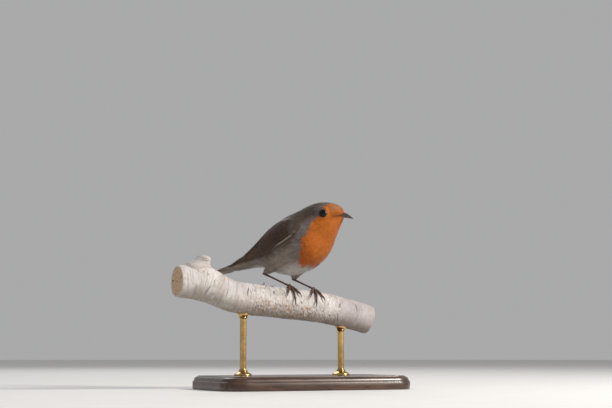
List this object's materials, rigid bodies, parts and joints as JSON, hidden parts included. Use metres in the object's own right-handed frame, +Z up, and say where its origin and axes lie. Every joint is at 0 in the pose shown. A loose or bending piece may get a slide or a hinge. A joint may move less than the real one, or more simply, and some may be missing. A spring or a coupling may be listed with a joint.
{
  "type": "songbird model",
  "caption": "Life-size still model of a European robin gripping a short length of birch, held above a flat base by turned rods.",
  "frame": {"origin": "the centre of the stand base's underside, right below the middle of the two feet", "axes": "+Z up, +X the way the bird's trunk points, +Y the bird's left; the perch runs at 55 degrees from +X towards +Y"},
  "size_m": [0.1549, 0.1657, 0.1386],
  "materials": {
    "orange_plumage": "soft orange feathers of the face and breast",
    "olive_plumage": "olive-brown feathers of the wings and tail",
    "grey_plumage": "soft grey, buff and white feathers",
    "horn": "dark satin horn of the bill and claws",
    "leg_skin": "dark reddish-brown scaled skin",
    "eye": "wet black-brown eye",
    "birch_bark": "pale birch bark with dark cracks and brown stains",
    "dark_wood": "dark oiled hardwood",
    "brass": "satin turned brass"
  },
  "bodies": {
    "root": {"bill_lower": "horn", "bill_upper": "horn", "claw_hind_left": "horn", "claw_hind_right": "horn", "claw_inner_left": "horn", "claw_inner_right": "horn", "claw_middle_left": "horn", "claw_middle_right": "horn", "claw_outer_left": "horn", "claw_outer_right": "horn", "eye_left": "eye", "eye_right": "eye", "foot_left": "leg_skin", "foot_right": "leg_skin", "head": "orange_plumage", "neck": "orange_plumage", "perch": "birch_bark", "stand_base": "dark_wood", "stand_rod_front": "brass", "stand_rod_rear": "brass", "tail": "olive_plumage", "tarsus_left": "leg_skin", "tarsus_right": "leg_skin", "thigh_left": "grey_plumage", "thigh_right": "grey_plumage", "trunk": "grey_plumage", "wing_left": "olive_plumage", "wing_right": "olive_plumage"}
  },
  "joints": []
}
